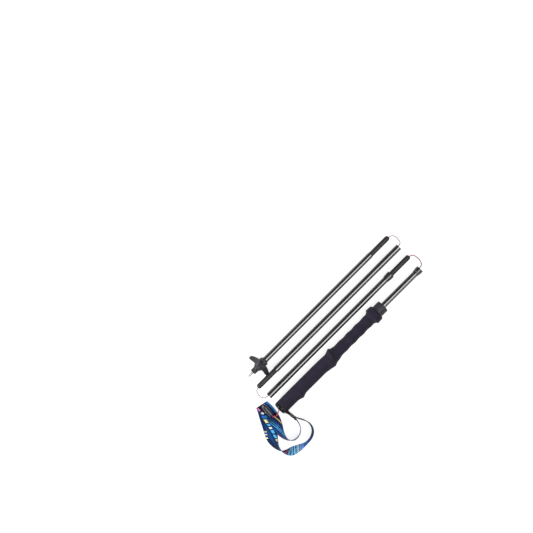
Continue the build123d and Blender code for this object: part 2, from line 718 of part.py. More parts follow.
# Output --------------------------------------------------------------------------------------
pieces = {
    "handle_shaft": handle_shaft,
    "handle_collar": handle_collar,
    "top_cap": top_cap,
    "cord_eyelet": cord_eyelet,
    "strap_pin": strap_pin,
    "upper_grip": upper_grip,
    "lower_grip": lower_grip,
    "grip_end_collar": grip_end_collar,
    "strap_stub": strap_stub,
    "strap_keeper": strap_keeper,
    "wrist_strap": wrist_strap,
    "inner_cord": inner_cord,
    "cord_crimp": cord_crimp,
    "pull_cord": pull_cord,
    "pull_toggle": pull_toggle,
    "upper_shaft": upper_shaft,
    "upper_collar": upper_collar,
    "upper_ferrule": upper_ferrule,
    "upper_nose": upper_nose,
    "upper_cord": upper_cord,
    "middle_shaft": middle_shaft,
    "middle_ferrule": middle_ferrule,
    "middle_nose": middle_nose,
    "middle_cord": middle_cord,
    "lower_shaft": lower_shaft,
    "lower_ferrule": lower_ferrule,
    "lower_nose": lower_nose,
    "lower_cord": lower_cord,
    "cord_anchor": cord_anchor,
    "tip_holder": tip_holder,
    "carbide_tip": carbide_tip,
    "basket": basket,
    "basket_ring": basket_ring,
    "handle_loop": handle_loop,
    "upper_loop": upper_loop,
    "middle_loop": middle_loop,
}
os.makedirs("parts", exist_ok=True)
for name, piece in pieces.items():
    piece.part.label = name
    export_step(piece.part, f"parts/{name}.step")
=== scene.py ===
"""Looks of the folding ski pole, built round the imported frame.

Metres, +Z up. The pole lies folded along Y, with its wrist strap on the +X side."""

import json
import math

import bpy
import numpy as np
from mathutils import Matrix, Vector

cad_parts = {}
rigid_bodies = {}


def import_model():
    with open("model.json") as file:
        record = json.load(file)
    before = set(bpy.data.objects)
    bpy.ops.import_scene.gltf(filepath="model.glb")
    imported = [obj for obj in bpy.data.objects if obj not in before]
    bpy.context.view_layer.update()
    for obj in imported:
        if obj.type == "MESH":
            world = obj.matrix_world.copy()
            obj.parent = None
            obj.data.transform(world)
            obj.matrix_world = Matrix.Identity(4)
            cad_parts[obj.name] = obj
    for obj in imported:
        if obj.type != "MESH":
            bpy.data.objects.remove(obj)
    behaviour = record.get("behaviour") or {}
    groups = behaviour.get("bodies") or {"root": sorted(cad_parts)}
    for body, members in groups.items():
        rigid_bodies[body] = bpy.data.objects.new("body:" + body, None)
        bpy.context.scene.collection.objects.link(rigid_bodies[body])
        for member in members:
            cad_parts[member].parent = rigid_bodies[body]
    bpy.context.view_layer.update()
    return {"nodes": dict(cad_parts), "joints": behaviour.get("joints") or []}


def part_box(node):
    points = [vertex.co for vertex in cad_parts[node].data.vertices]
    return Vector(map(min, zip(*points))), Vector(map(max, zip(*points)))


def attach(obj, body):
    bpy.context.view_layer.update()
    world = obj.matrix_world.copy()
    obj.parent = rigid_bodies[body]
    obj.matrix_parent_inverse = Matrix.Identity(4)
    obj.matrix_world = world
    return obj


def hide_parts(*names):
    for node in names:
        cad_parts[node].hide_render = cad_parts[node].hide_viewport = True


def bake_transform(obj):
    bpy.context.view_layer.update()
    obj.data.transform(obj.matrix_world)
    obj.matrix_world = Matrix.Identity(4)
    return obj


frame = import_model()
NODES = frame["nodes"]
MM = 0.001

# Where the handle's axis and the outer face of its cap lie, in the row frame
cap_low, cap_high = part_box("top_cap")
AXIS_X = (cap_low.x + cap_high.x) / 2
AXIS_Z = (cap_low.z + cap_high.z) / 2
CAP_Y = cap_low.y


def scene_object(name, data):
    """A new object in the scene."""
    made = bpy.data.objects.new(name, data)
    bpy.context.scene.collection.objects.link(made)
    return made


# Camera --------------------------------------------------------------------------------------
FRAME_WIDTH = 0.888  # what the picture spans at the height of the shafts
FRAME_TURN = math.radians(45.06)
FRAME_CENTRE = (-0.1725, 0.0130)  # the point in the middle of the picture
LENS = 135.0
SENSOR = 36.0
CLIP_END = 100.0

lens = bpy.data.cameras.new("camera")
lens.lens = LENS
lens.sensor_width = SENSOR
lens.clip_end = CLIP_END
camera = scene_object("camera", lens)
camera.location = (*FRAME_CENTRE, AXIS_Z + FRAME_WIDTH * LENS / SENSOR)
camera.rotation_euler = (0, 0, FRAME_TURN)
bpy.context.scene.camera = camera


# Meshes --------------------------------------------------------------------------------------
def mesh_object(name, points, faces, uvs=None, smooth=True):
    """A mesh object. Its UVs, if any, are one pair for each corner of each face."""
    mesh = bpy.data.meshes.new(name)
    mesh.from_pydata([tuple(p) for p in points], [], faces)
    if uvs is not None:
        layer = mesh.uv_layers.new(name="UVMap")
        layer.data.foreach_set("uv", np.array(uvs, np.float32).ravel())
    mesh.polygons.foreach_set("use_smooth", [smooth] * len(mesh.polygons))
    mesh.update()
    return scene_object(name, mesh)


def tube_faces(rings, sides):
    """Quads between rings of points, and one face that closes each end."""
    faces = []
    for ring in range(rings - 1):
        for side in range(sides):
            a, b = ring * sides + side, ring * sides + (side + 1) % sides
            faces.append((a, b, b + sides, a + sides))
    faces.append(tuple(reversed(range(sides))))
    faces.append(tuple(range((rings - 1) * sides, rings * sides)))
    return faces


# Cords ---------------------------------------------------------------------------------------
CORD_R = 0.9 * MM
CORD_SIDES = 14
CORD_STEPS = 16  # points on the curve between two of its control points

# Routes in millimetres: out of one shaft's open end, round, and into the next one's nose
HANDLE_LOOP = [
    (11.1, 143.45, 15.0),
    (11.1, 194.45, 15.0),
    (4.1, 201.45, 15.0),
    (-9.9, 201.45, 15.0),
    (-16.9, 196.45, 15.0),
    (-16.9, 185.45, 15.0),
]
UPPER_LOOP = [
    (-16.9, -88.55, 15.0),
    (-16.9, -139.55, 15.0),
    (-22.65, -147.55, 15.0),
    (-34.15, -147.55, 15.0),
    (-39.9, -142.55, 15.0),
    (-39.9, -131.55, 15.0),
]
MIDDLE_LOOP = [
    (-39.9, 144.45, 15.0),
    (-39.9, 195.45, 15.0),
    (-45.9, 200.45, 15.0),
    (-57.9, 200.45, 15.0),
    (-63.9, 194.45, 15.0),
    (-63.9, 183.45, 15.0),
]
# out of the cap, down, and into the toggle that lies beside it
PULL_CORD = [
    (11.1, -136.55, 15.0),
    (11.1, -142.15, 15.0),
    (14.3, -146.15, 13.5),
    (15.7, -150.15, 11.6),
    (15.0, -153.95, 9.8),
    (12.3, -156.45, 8.8),
    (4.515, -155.931, 8.7),
]


def smooth_route(name, route):
    """The points of a NURBS line whose control points are the route."""
    line = bpy.data.curves.new(name, "CURVE")
    line.dimensions = "3D"
    line.resolution_u = CORD_STEPS
    spline = line.splines.new("NURBS")
    spline.points.add(len(route) - 1)
    for point, place in zip(spline.points, route):
        point.co = (*(MM * value for value in place), 1)
    spline.order_u = 3
    spline.use_endpoint_u = True
    holder = scene_object(name, line)
    read = bpy.data.meshes.new_from_object(holder)
    points = [vertex.co.copy() for vertex in read.vertices]
    bpy.data.objects.remove(holder)
    bpy.data.meshes.remove(read)
    return points


def cord_mesh(name, route):
    """A round cord along the route, with its length in metres along V.

    Returns the cord, the path that it follows and its length."""
    path = smooth_route(name + "_route", route)
    points, lengths = [], [0.0]
    side = Vector((0, 0, 1))
    for i, here in enumerate(path):
        way = (path[min(i + 1, len(path) - 1)] - path[max(i - 1, 0)]).normalized()
        side = (side - way * side.dot(way)).normalized()
        other = way.cross(side)
        for k in range(CORD_SIDES):
            turn = 2 * math.pi * k / CORD_SIDES
            points.append(here + (side * math.cos(turn) + other * math.sin(turn)) * CORD_R)
        if i:
            lengths.append(lengths[-1] + (here - path[i - 1]).length)
    faces = tube_faces(len(path), CORD_SIDES)
    uvs = []
    for ring in range(len(path) - 1):
        for side_number in range(CORD_SIDES):
            u, u_next = side_number / CORD_SIDES, (side_number + 1) / CORD_SIDES
            v, v_next = lengths[ring], lengths[ring + 1]
            uvs += [(u, v), (u_next, v), (u_next, v_next), (u, v_next)]
    uvs += [(0.5, 0.0)] * CORD_SIDES + [(0.5, lengths[-1])] * CORD_SIDES
    return mesh_object(name, points, faces, uvs), path, lengths[-1]


def free_cord(name, node, route, far_end, slot, **place):
    """A cord in place of its CAD tube, whose length it prints.

    It rides on place["body"]. place["bodies"], place["start"] and place["end"] are not used: without a
    body the cord stays where it lies."""
    cord, path, length = cord_mesh(name, route)
    if "body" in place:
        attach(cord, place["body"])
    else:
        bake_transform(cord)
    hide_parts(node)
    print(name, "length", round(length / MM, 1), "mm")
    return cord


def loop(name, node, joint, route, from_child):
    """A cord between two folded shafts, which stays where it lies when they fold.

    A half turn could go either way round. For the folds beside the handle's open end, which are given
    from their child, the two bodies and the two ends are put in reverse order."""
    fold = next(j for j in frame["joints"] if j["name"] == joint)
    y, z = fold["pos_m"][1:]
    start, end = ((MM * route[i][0], y, z) for i in (0, -1))
    bodies = fold["parent"], fold["child"]
    if from_child:
        bodies, start, end = bodies[::-1], end, start
    return free_cord(name, node, route, "object", "loop_cord", bodies=bodies, start=start, end=end)


handle_cord_loop = loop("handle_cord_loop", "handle_loop", "upper_fold", HANDLE_LOOP, True)
upper_cord_loop = loop("upper_cord_loop", "upper_loop", "middle_fold", UPPER_LOOP, False)
middle_cord_loop = loop("middle_cord_loop", "middle_loop", "lower_fold", MIDDLE_LOOP, True)
toggle_cord = free_cord(
    "toggle_cord",
    "pull_cord",
    PULL_CORD,
    "fitting",
    "cord",
    body="pull",
    with_pieces=[NODES["pull_toggle"]],
)


# Wrist strap ---------------------------------------------------------------------------------
STRAP = 22.0  # width of the webbing, in millimetres as all of this section
WEB = 1.3  # its thickness
SPAN_STEPS = 9  # rulings between two stations
EVEN_ROUNDS = 10  # how often each row is averaged with its neighbours
PIN = Vector((6.2, 6.3))  # the pin that the strap's tab turns on, in plan
TAB_TURN = math.radians(7.0)  # from +X
TAB_WAY = Vector((math.cos(TAB_TURN), math.sin(TAB_TURN)))
TAB_SIDE = Vector((-math.sin(TAB_TURN), math.cos(TAB_TURN)))


def from_tab(along, aside):
    """A place in plan given along the tab from its pin, and to its side."""
    place = PIN + TAB_WAY * along + TAB_SIDE * aside
    return place.x, place.y


# Stations of the webbing's middle line: x from the handle's axis, y from the cap's face, how far
# the width is turned up from lying flat, in degrees, and the height of the lower edge
INNER_STATIONS = [
    (*from_tab(21.5, -0.68), 90, 4.2),
    (32.0, 8.5, 90, 3.2),
    (37.5, 7.8, 90, 1.6),
    (45.2, 4.9, 90, 0.5),
    (50.5, 0.6, 90, 0.2),
    (54.0, -5.0, 90, 0.2),
    (55.2, -11.5, 90, 0.2),
    (54.3, -17.8, 91, 0.2),
    (51.2, -22.2, 94, 0.2),
    (47.5, -24.8, 98, 0.2),
    (42.0, -26.4, 105, 0.2),
    (36.6, -26.6, 113, 0.3),
    (31.2, -26.0, 122, 0.9),
    (24.0, -24.2, 136, 2.3),
    (14.0, -20.4, 153, 2.6),
    (3.0, -17.0, 169, 2.4),
    (-8.0, -15.3, 178, 2.3),
    (-17.0, -15.3, 180, 2.4),
    (-24.3, -15.5, 180, 2.8),
]
OUTER_STATIONS = [
    (-24.3, -15.5, 0, 0.8),
    (-16.2, -19.4, 0, 0.8),
    (-7.5, -24.3, 0, 0.8),
    (9.0, -32.6, 2, 0.8),
    (18.0, -37.6, 10, 0.8),
    (25.0, -41.7, 24, 0.7),
    (33.1, -45.2, 45, 0.6),
    (42.0, -47.2, 66, 0.4),
    (49.3, -46.9, 79, 0.2),
    (54.9, -44.9, 93, 0.2),
    (60.2, -40.8, 111, 0.2),
    (64.6, -34.5, 125, 0.2),
    (67.2, -27.0, 122, 0.2),
    (69.9, -17.8, 110, 0.2),
    (72.0, -8.0, 97, 0.2),
    (71.6, 3.0, 96, 0.2),
    (67.6, 12.1, 97, 0.2),
    (61.9, 17.2, 97, 0.3),
    (54.9, 19.6, 96, 0.5),
    (47.8, 19.2, 94, 0.9),
    (39.9, 16.4, 91, 1.8),
    (33.5, 12.6, 90, 3.2),
    (*from_tab(21.5, 0.68), 90, 4.2),
]
FOLD_RUN = 5.07  # how far the fold leans along the webbing over its width
FOLD_EASE = 20.0  # length over which the rulings turn to lie along the fold
FOLD_STEPS = 12


def between(before, start, end, after, share):
    """The Catmull-Rom curve between two stations."""
    p0, p1, p2, p3 = (np.array(p, float) for p in (before, start, end, after))
    a, b, c = 2 * p0 - 5 * p1 + 4 * p2 - p3, p2 - p0, 3 * p1 - p0 - 3 * p2 + p3
    return p1 + 0.5 * share * (b + share * (a + share * c))


def filled(stations):
    """The stations with SPAN_STEPS rows to each span, evened out."""
    # one more station past each end, in line with the last two
    rows = [tuple(2 * a - b for a, b in zip(stations[0], stations[1])), *stations]
    rows.append(tuple(2 * a - b for a, b in zip(stations[-1], stations[-2])))
    line = []
    for i in range(1, len(rows) - 2):
        for step in range(SPAN_STEPS):
            line.append(between(*rows[i - 1 : i + 3], step / SPAN_STEPS))
    line.append(np.array(stations[-1], float))
    line = np.array(line)
    for _ in range(EVEN_ROUNDS):
        line[1:-1] = (line[:-2] + 2 * line[1:-1] + line[2:]) / 4
    return line


def rulings(stations, fold_at_end):
    """The webbing's lower and upper edge points, row by row."""
    line = filled(stations)
    ways = np.gradient(line[:, :2], axis=0)
    ways /= np.linalg.norm(ways, axis=1)[:, None]
    steps = np.linalg.norm(np.diff(line[:, :2], axis=0), axis=1)
    travelled = np.concatenate([[0], np.cumsum(steps)])
    to_fold = travelled[-1] - travelled if fold_at_end else travelled
    pairs = []
    for (x, y, turn, low), way, distance in zip(line, ways, to_fold):
        up = math.radians(turn)
        ease = max(0.0, 1 - distance / FOLD_EASE)
        lean = FOLD_RUN * ease * ease * (3 - 2 * ease)
        flat = STRAP * math.cos(up)
        across = np.array([-way[1] * flat - way[0] * lean, way[0] * flat - way[1] * lean])
        rise = STRAP * math.sin(up)
        middle = np.array([x, y])
        pairs.append(((*(middle - across / 2), low), (*(middle + across / 2), low + rise)))
    return pairs


def placed(point):
    """From the strap's own millimetres to the row frame."""
    x, y, z = point
    return Vector((AXIS_X + MM * x, CAP_Y + MM * y, MM * z))


# Cross-section of a woven band: places across it, and the share of its thickness there
SECTION_U = (0.0, 0.02, 0.06, 0.2, 0.35, 0.5, 0.65, 0.8, 0.94, 0.98, 1.0)
SECTION_H = (0.45, 0.85, 1.0, 1.0, 1.0, 1.0, 1.0, 1.0, 1.0, 0.85, 0.45)


def ribbon(name, pairs, thickness):
    """A woven band with rounded edges through rows of edge points. U runs across it and V along it.

    The thickness is one number, or one for each row."""
    low = [placed(a) for a, b in pairs]
    high = [placed(b) for a, b in pairs]
    middle = [(a + b) / 2 for a, b in zip(low, high)]
    points, coordinates = [], []
    travelled = 0.0
    for i, (a, b, thick) in enumerate(zip(low, high, np.broadcast_to(thickness, len(pairs)))):
        way = middle[min(i + 1, len(middle) - 1)] - middle[max(i - 1, 0)]
        normal = way.cross(b - a).normalized() * (float(thick) * MM / 2)
        here = [a.lerp(b, u) for u in SECTION_U]
        if i:
            travelled += (middle[i] - middle[i - 1]).length
        front = [p + normal * h for p, h in zip(here, SECTION_H)]
        back = [p - normal * h for p, h in zip(here, SECTION_H)]
        points += front + back[::-1]
        row = [(u, travelled) for u in SECTION_U]
        coordinates += row + row[::-1]
    faces = tube_faces(len(pairs), 2 * len(SECTION_U))
    uvs = [coordinates[corner] for face in faces for corner in face]
    return mesh_object(name, points, faces, uvs)


def round_fold(upper, lower):
    """The rows that take the webbing half a turn round, from one row down to the one under it."""
    low, high = (np.array(p) for p in upper)
    way = (high - low)[:2] / np.linalg.norm((high - low)[:2])
    out = np.array([-way[1], way[0], 0.0])
    radius = (low[2] - lower[0][2]) / 2
    pairs = []
    for step in range(1, FOLD_STEPS):
        turn = math.pi * step / FOLD_STEPS
        shift = out * radius * math.sin(turn) + np.array([0, 0, radius * (math.cos(turn) - 1)])
        pairs.append((low + shift, high + shift))
    return pairs


def middle_length(pairs):
    """The length in metres of the line half way between the two edges."""
    middle = [(placed(a) + placed(b)) / 2 for a, b in pairs]
    return sum((here - there).length for here, there in zip(middle, middle[1:]))


# The webbing's inner part, its fold and its outer part
inner_rows = rulings(INNER_STATIONS, True)
outer_rows = rulings(OUTER_STATIONS, False)
strap_rows = inner_rows + round_fold(inner_rows[-1], outer_rows[0]) + outer_rows
strap = ribbon("wrist_strap_webbing", strap_rows, WEB)
strap_length = middle_length(strap_rows)
print("strap length", round(strap_length / MM, 1), "mm")
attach(strap, "handle")
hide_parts("wrist_strap")

# The black tab: a band round the pin, with the webbing's two ends sewn between its own
TAB_LOW = 7.0  # heights of its edges
TAB_HIGH = 23.0
TAB_WEB = 1.25  # its thickness
# the middle of one of its halves: how far along from the pin, and how far to the side
TAB_HALF = [
    (25.6, 2.0),
    (24.0, 1.97),
    (22.3, 1.85),
    (20.6, 1.05),
    (18.0, 0.84),
    (13.0, 0.84),
    (9.5, 1.6),
    (6.5, 2.4),
    (3.5, 2.6),
    (1.0, 2.5),
    (-0.8, 2.2),
    (-1.85, 1.2),
]
TAB_BACK = (-2.2, 0.0)  # where it goes round behind the pin
tab_path = [*TAB_HALF, TAB_BACK, *((along, -aside) for along, aside in TAB_HALF[::-1])]
# as stations, of which only the place in plan is used
tab_line = filled([(*from_tab(along, aside), 0, 0) for along, aside in tab_path])
tab_rows = [((x, y, TAB_LOW), (x, y, TAB_HIGH)) for x, y, _, _ in tab_line]
tab = ribbon("strap_tab_band", tab_rows, TAB_WEB)
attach(tab, "handle")
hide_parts("strap_stub")

# The band's turned-in end, which fills it beside the pin: how far along, and how thick it is there
CORE = [
    (1.75, 3.1),
    (2.0, 3.6),
    (4.0, 3.9),
    (6.5, 3.5),
    (8.0, 2.8),
    (9.5, 1.9),
    (11.5, 0.9),
    (13.0, 0.4),
]
CORE_INSET = 0.2  # its edges lie this far inside the band's
core_rows = []
for along, _ in CORE:
    x, y = from_tab(along, 0)
    core_rows.append(((x, y, TAB_LOW + CORE_INSET), (x, y, TAB_HIGH - CORE_INSET)))
core = ribbon("strap_tab_core", core_rows, [thick for _, thick in CORE])
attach(core, "handle")

# The stitches that close the tab over the webbing, in upright rows on both of its faces
STITCH = 1.25  # length of one
STITCH_STEP = 1.75  # from one to the next
STITCH_COUNT = 8  # in a row
STITCH_FOOT = 8.3  # height of the lowest one's lower end
STITCH_ALONG = (22.6, 25.0)  # where the rows are
STITCH_ASIDE = 2.62
STITCH_R = 0.2
STITCH_FLAT = 1.4  # how much wider than high it is
STITCH_SIDES = 6
STITCH_SWELL = ((0.0, 0.3), (0.12, 0.85), (0.5, 1.0), (0.88, 0.85), (1.0, 0.3))


def add_stitch(points, faces, along, aside, foot):
    """Adds one stitch, thickest in its middle, to the points and faces."""
    base = len(points)
    for share, swell in STITCH_SWELL:
        for k in range(STITCH_SIDES):
            turn = 2 * math.pi * k / STITCH_SIDES
            here = from_tab(
                along + STITCH_FLAT * STITCH_R * swell * math.cos(turn),
                aside + STITCH_R * swell * math.sin(turn),
            )
            points.append(placed((*here, foot + share * STITCH)))
    for face in tube_faces(len(STITCH_SWELL), STITCH_SIDES):
        faces.append(tuple(base + corner for corner in face))


points, faces = [], []
for aside in (STITCH_ASIDE, -STITCH_ASIDE):
    for along in STITCH_ALONG:
        for k in range(STITCH_COUNT):
            add_stitch(points, faces, along, aside, STITCH_FOOT + STITCH_STEP * k)
stitches = mesh_object("strap_tab_stitches", points, faces)
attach(stitches, "handle")


# Finishes ------------------------------------------------------------------------------------
NOISE_ROUGHNESS = 0.55


def linear(*code):
    """A colour written as screen values from 0 to 255."""
    parts = [c / 255 for c in code]
    return (*(p / 12.92 if p <= 0.04045 else ((p + 0.055) / 1.055) ** 2.4 for p in parts), 1.0)


class Finish:
    """A Principled material and short ways to add nodes to it."""

    def __init__(self, name, **sockets):
        self.material = bpy.data.materials.new(name)
        self.material.use_nodes = True
        self.tree = self.material.node_tree
        self.shader = self.tree.nodes["Principled BSDF"]
        for key, value in sockets.items():
            self.shader.inputs[key.replace("_", " ")].default_value = value

    def node(self, kind, sockets=(), out=0, **settings):
        """A new node with its inputs linked or set. Returns one of its outputs."""
        made = self.tree.nodes.new("ShaderNode" + kind)
        for key, value in settings.items():
            setattr(made, key, value)
        for key, value in dict(sockets).items():
            if isinstance(value, bpy.types.NodeSocket):
                self.tree.links.new(value, made.inputs[key])
            else:
                made.inputs[key].default_value = value
        return made.outputs[out]

    def set(self, socket, source):
        """Links an output to one of the shader's sockets."""
        self.tree.links.new(source, self.shader.inputs[socket])

    def place(self, scale, uv=False):
        """A scaled place on the object, or in its UV map."""
        source = self.node("TexCoord", out="UV" if uv else "Object")
        return self.node("Mapping", {"Vector": source, "Scale": scale})

    def uv(self, axis, v_scale=1.0):
        """U as axis "X", or V times a scale as axis "Y"."""
        return self.node("SeparateXYZ", {"Vector": self.place([1, v_scale, 1], uv=True)}, out=axis)

    def noise(self, vector, detail=3.0):
        """Uneven values about 0.5, with a new lump at each step of the vector."""
        sockets = {"Vector": vector, "Scale": 1.0, "Detail": detail, "Roughness": NOISE_ROUGHNESS}
        return self.node("TexNoise", sockets)

    def grain(self, size, detail=3.0):
        """Noise with lumps of this size in metres."""
        return self.noise(self.place([1 / size] * 3), detail)

    def mix(self, share, first, second):
        """A colour between two."""
        return self.node("Mix", {0: share, 6: first, 7: second}, out=2, data_type="RGBA")

    def shaded(self, colour, shade):
        """The colour times the shade."""
        sockets = {0: 1.0, 6: colour, 7: shade}
        return self.node("Mix", sockets, out=2, data_type="RGBA", blend_type="MULTIPLY")

    def maths(self, operation, first, second=0.0, third=0.0):
        """A Math node."""
        return self.node("Math", {0: first, 1: second, 2: third}, operation=operation)

    def wave(self, source, count=1):
        """A sine wave with this many waves to each unit of its source."""
        return self.maths("SINE", self.maths("MULTIPLY", source, 2 * math.pi * count))

    def spread(self, source, low, high, start=0.3, end=0.7):
        """Takes a noise's usual range to a range of values."""
        sockets = {"Value": source, "From Min": start, "From Max": end, "To Min": low, "To Max": high}
        return self.node("MapRange", sockets)

    def ramp(self, source, stops, interpolation="CONSTANT"):
        """Colours by place, from a list of where each starts."""
        made = self.tree.nodes.new("ShaderNodeValToRGB")
        made.color_ramp.interpolation = interpolation
        elements = made.color_ramp.elements
        while len(elements) < len(stops):
            elements.new(1.0)
        for element, (position, colour) in zip(elements, stops):
            element.position = position
            element.color = colour
        self.tree.links.new(source, made.inputs["Fac"])
        return made.outputs["Color"]

    def bump(self, height, strength, distance):
        """Raises the surface by up to a distance in metres."""
        sockets = {"Height": height, "Strength": strength, "Distance": distance}
        self.set("Normal", self.node("Bump", sockets))


FINE = 0.0004  # the usual grain of a moulded plastic
FINE_SHARE = 0.6  # of the grain in the shade; broad patches make the rest
PATCHES = 0.08  # how many patches there are to each lump of the grain


def moulded(name, dark, light, grain, rough, bump, stretch=(1, 1, 1), **sockets):
    """A plastic, lacquer or metal with two close shades and uneven gloss.

    The grain's size and the bump's height are in metres. A stretch below 1 draws the grain out."""
    finish = Finish(name, **sockets)
    fine = finish.noise(finish.place([s / grain for s in stretch]))
    broad = finish.noise(finish.place([PATCHES * s / grain for s in stretch]), detail=2.0)
    patches = finish.maths("MULTIPLY", broad, 1 - FINE_SHARE)
    blend = finish.maths("MULTIPLY_ADD", fine, FINE_SHARE, patches)
    share = finish.spread(blend, 0.0, 1.0)
    finish.set("Base Color", finish.mix(share, linear(*dark), linear(*light)))
    finish.set("Roughness", finish.spread(blend, *rough))
    finish.bump(fine, 1.0, bump)
    return finish.material


# Colours are screen values, grain and bump are in metres, and rough is the range of the gloss
MOULDED = {
    "tube": dict(
        dark=(9, 8, 12), light=(17, 15, 21), grain=0.0025, rough=(0.14, 0.2), bump=0.000003,
        stretch=(1, 0.04, 1), IOR=2.4,
    ),
    "collar": dict(
        dark=(9, 9, 11), light=(18, 17, 21), grain=FINE, rough=(0.2, 0.27), bump=0.000006, IOR=1.9,
    ),
    "cap": dict(
        dark=(3, 3, 4), light=(8, 7, 10), grain=FINE, rough=(0.26, 0.34), bump=0.000003,
        Specular_IOR_Level=0.1, Coat_Weight=0.3, Coat_Roughness=0.12,
    ),
    "steel": dict(
        dark=(120, 120, 124), light=(176, 176, 180), grain=FINE, rough=(0.25, 0.4), bump=0.000005,
        Metallic=1.0,
    ),
    "grip_collar": dict(
        dark=(30, 28, 38), light=(40, 37, 48), grain=FINE, rough=(0.5, 0.62), bump=0.00002,
    ),
    "toggle": dict(
        dark=(26, 26, 42), light=(38, 38, 58), grain=FINE, rough=(0.2, 0.26), bump=0.000006,
        Coat_Weight=0.6, Coat_Roughness=0.1,
    ),
    "ferrule": dict(
        dark=(44, 44, 47), light=(66, 66, 69), grain=0.0012, rough=(0.38, 0.5), bump=0.000008,
        stretch=(1, 3, 1), Metallic=0.75,
    ),
    "nose": dict(
        dark=(18, 18, 19), light=(30, 30, 32), grain=FINE, rough=(0.4, 0.52), bump=0.00001,
    ),
    "tip_holder": dict(
        dark=(26, 26, 28), light=(40, 40, 42), grain=FINE, rough=(0.38, 0.5), bump=0.000015,
    ),
    "carbide": dict(
        dark=(150, 150, 150), light=(205, 203, 200), grain=FINE, rough=(0.3, 0.42), bump=0.00001,
        Metallic=0.9,
    ),
    "basket": dict(
        dark=(32, 31, 38), light=(48, 47, 55), grain=FINE, rough=(0.45, 0.58), bump=0.00003,
    ),
    "strap_pin": dict(
        dark=(24, 24, 26), light=(44, 44, 46), grain=FINE, rough=(0.35, 0.5), bump=0.000008,
        Metallic=0.8,
    ),
    "strap_keeper": dict(
        dark=(12, 12, 14), light=(24, 23, 27), grain=FINE, rough=(0.4, 0.5), bump=0.00001,
    ),
    "thread": dict(
        dark=(30, 30, 36), light=(52, 50, 58), grain=FINE, rough=(0.6, 0.7), bump=0.00002,
    ),
}

RELIEF = 0.00012  # how far the foam's cells and the woven threads stand up

FOAM_CELL = 0.00022
FOAM_PIT = 0.00055
FOAM_PATCH = 0.018
CELL_SHARE = 0.45  # of the cells in the shade; broad patches make the rest


def foam():
    """Closed-cell foam, its skin cut open by grinding: fine cells, larger pits and broad patches."""
    finish = Finish("grip_foam", Specular_IOR_Level=0.3, Sheen_Weight=0.08, Sheen_Roughness=0.5)
    pits = {"Vector": finish.place([1 / FOAM_PIT] * 3), "Scale": 1.0}
    pits = finish.node("TexVoronoi", pits, out="Distance")
    fine = finish.grain(FOAM_CELL)
    broad = finish.grain(FOAM_PATCH, detail=4.0)
    patches = finish.maths("MULTIPLY", broad, 1 - CELL_SHARE)
    tone = finish.maths("MULTIPLY_ADD", fine, CELL_SHARE, patches)
    share = finish.spread(tone, 0.0, 1.0, 0.35, 0.65)
    finish.set("Base Color", finish.mix(share, linear(20, 15, 31), linear(34, 28, 48)))
    finish.set("Roughness", finish.spread(fine, 0.74, 0.9))
    finish.bump(finish.maths("MULTIPLY_ADD", pits, 0.7, fine), 0.8, RELIEF)
    return finish.material


BLACK_RIB = 0.0011  # from one rib of the black webbing to the next
BLACK_THREAD = 0.0003


def woven_black():
    """Dense black webbing: ribs across its length, spun from fine threads, with painted light and
    shade on the ribs.
    """
    finish = Finish("strap_tab", Sheen_Weight=0.05, Specular_IOR_Level=0.15)
    ribs = finish.wave(finish.uv("Y", 1 / BLACK_RIB))
    fine = finish.grain(BLACK_THREAD)
    # painted light and shade: lighter on the ribs' tops and darker between them; the fine grain is the
    # threads' own tone
    share = finish.spread(finish.maths("MULTIPLY_ADD", ribs, 0.2, fine), 0.0, 1.0)
    finish.set("Base Color", finish.mix(share, linear(7, 7, 10), linear(22, 21, 27)))
    finish.set("Roughness", finish.spread(fine, 0.5, 0.7))
    finish.bump(finish.maths("MULTIPLY_ADD", ribs, 0.5, fine), 0.7, 0.0002)
    return finish.material


STRANDS = 6  # of the braid, each way round the cord
BRAID_TURN = 0.0055  # length in which a strand goes once round
FLECKS = 0.3  # share of the strands in another colour


def braided(name, main, fleck):
    """Braided cord: two crossing sets of strands, some of another colour, with painted shade between
    them.
    """
    finish = Finish(name, Roughness=0.62, Sheen_Weight=0.3, Sheen_Roughness=0.4)
    around = finish.uv("X")
    along = finish.uv("Y", 1 / BRAID_TURN)
    rising = finish.maths("ADD", around, along)
    falling = finish.maths("SUBTRACT", around, along)
    height = finish.maths("MAXIMUM", finish.wave(rising, STRANDS), finish.wave(falling, STRANDS))
    number = finish.maths("FLOOR", finish.maths("MULTIPLY", rising, STRANDS))
    strand = finish.node("TexWhiteNoise", {"W": number}, noise_dimensions="1D")
    odd = finish.maths("LESS_THAN", strand, FLECKS)
    # painted shade: the colour darkens in the grooves between the strands
    shade = finish.spread(height, 0.55, 1.0, -0.4, 0.9)
    colour = finish.mix(odd, linear(*main), linear(*fleck))
    finish.set("Base Color", finish.shaded(colour, shade))
    finish.bump(height, 0.6, RELIEF)
    return finish.material


# The strap's print. U runs across the webbing from 0 to 1, and V along it from its inner end, at 0,
# over the fold to its outer end, at 1.
DEEP = linear(5, 22, 52)
NAVY = linear(8, 35, 76)
ROYAL = linear(14, 64, 122)
BLUE = linear(36, 104, 172)
SKY = linear(82, 174, 230)
PINK = linear(206, 112, 160)
STRAW = linear(226, 214, 142)
CREAM = linear(220, 220, 208)
GOLD = linear(186, 154, 96)
ICE = linear(126, 200, 242)
DUSK = linear(104, 154, 226)
TEAL = linear(10, 42, 60)
BLACK = linear(16, 16, 26)

